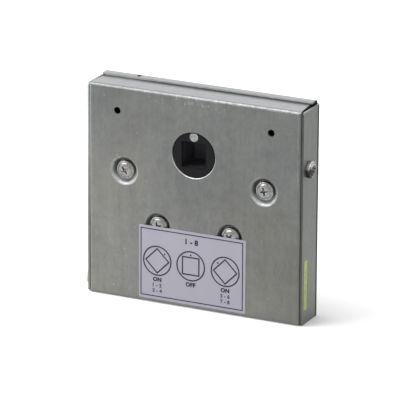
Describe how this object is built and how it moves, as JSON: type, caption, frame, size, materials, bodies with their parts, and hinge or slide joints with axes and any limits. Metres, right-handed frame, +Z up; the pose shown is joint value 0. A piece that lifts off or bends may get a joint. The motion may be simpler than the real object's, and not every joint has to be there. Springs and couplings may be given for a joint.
{
  "type": "valve position switch",
  "caption": "Flat sheet-metal position switch for a valve with a square stem: a square-socket rotor and its cam work two roller-lever snap switches.",
  "frame": {"origin": "under the middle of the box, on the surface that it stands on, half-way through its depth", "axes": "+X to the right seen from the labelled front, +Y from the front towards the back plate, +Z up"},
  "size_m": [0.1176, 0.0197, 0.1061],
  "materials": {
    "galvanised_sheet": "galvanised, satin",
    "bracket_steel": "zinc plated, satin",
    "zinc_screws": "zinc plated, bright",
    "pins": "bright steel",
    "label_film": "printed film, matte",
    "strip_film": "film, matte",
    "nylon": "natural nylon",
    "rotor_plastic": "black moulded, satin",
    "dot_paint": "light inlay",
    "acetal": "white acetal",
    "spring_steel": "oiled spring steel",
    "switch_plastic": "black phenolic",
    "switch_cover_plastic": "dark phenolic",
    "plunger_plastic": "red moulded",
    "lever_steel": "stainless spring strip",
    "terminal_brass": "brass blades"
  },
  "bodies": {
    "housing": {"front_cover": "galvanised_sheet", "back_housing": "galvanised_sheet", "bracket_screws": "zinc_screws", "cover_screw": "zinc_screws", "position_label": "label_film", "inspection_strip": "strip_film", "lead_bushing": "nylon", "thrust_washer": "nylon", "rear_bush": "nylon", "right_switch_bracket": "bracket_steel", "left_switch_bracket": "bracket_steel", "right_switch_case": "switch_plastic", "left_switch_case": "switch_plastic", "right_case_cover": "switch_cover_plastic", "left_case_cover": "switch_cover_plastic", "right_lever_pin": "pins", "left_lever_pin": "pins", "right_terminals": "terminal_brass", "left_terminals": "terminal_brass", "right_switch_screws": "zinc_screws", "left_switch_screws": "zinc_screws"},
    "rotor_group": {"rotor": "rotor_plastic", "index_dot": "dot_paint", "cam": "acetal", "cam_retaining_ring": "spring_steel"},
    "right_lever_group": {"right_lever": "lever_steel", "right_roller_pin": "pins"},
    "right_roller_group": {"right_roller": "acetal"},
    "right_plunger_group": {"right_plunger": "plunger_plastic"},
    "left_lever_group": {"left_lever": "lever_steel", "left_roller_pin": "pins"},
    "left_roller_group": {"left_roller": "acetal"},
    "left_plunger_group": {"left_plunger": "plunger_plastic"}
  },
  "joints": [
    {"name": "rotor_turn", "type": "hinge", "parent": "housing", "child": "rotor_group", "pos_m": [0, 0, 0.0763], "axis": [0, 1, 0], "range_deg": [-45, 45]},
    {"name": "right_lever_swing", "type": "hinge", "parent": "housing", "child": "right_lever_group", "pos_m": [0.01173, 0.0009, 0.04859], "axis": [0, 1, 0], "range_deg": [-5.6, 5.6]},
    {"name": "right_roller_spin", "type": "hinge", "parent": "right_lever_group", "child": "right_roller_group", "pos_m": [0.01657, 0.0009, 0.06742], "axis": [0, 1, 0], "continuous": true},
    {"name": "right_plunger_slide", "type": "slide", "parent": "housing", "child": "right_plunger_group", "axis": [-0.8231, 0, 0.5678], "range_m": [-0.00065, 0.00065]},
    {"name": "left_lever_swing", "type": "hinge", "parent": "housing", "child": "left_lever_group", "pos_m": [-0.01173, 0.0009, 0.04859], "axis": [0, 1, 0], "range_deg": [-5.6, 5.6]},
    {"name": "left_roller_spin", "type": "hinge", "parent": "left_lever_group", "child": "left_roller_group", "pos_m": [-0.01657, 0.0009, 0.06742], "axis": [0, 1, 0], "continuous": true},
    {"name": "left_plunger_slide", "type": "slide", "parent": "housing", "child": "left_plunger_group", "axis": [0.8231, 0, 0.5678], "range_m": [-0.00065, 0.00065]}
  ],
  "couplings": [
    {"joint": "right_lever_swing", "follows": "rotor_turn", "ratio": -0.11556},
    {"joint": "right_plunger_slide", "follows": "rotor_turn", "m_per_rad": 0.00075111},
    {"joint": "left_lever_swing", "follows": "rotor_turn", "ratio": -0.11556},
    {"joint": "left_plunger_slide", "follows": "rotor_turn", "m_per_rad": -0.00075111}
  ]
}
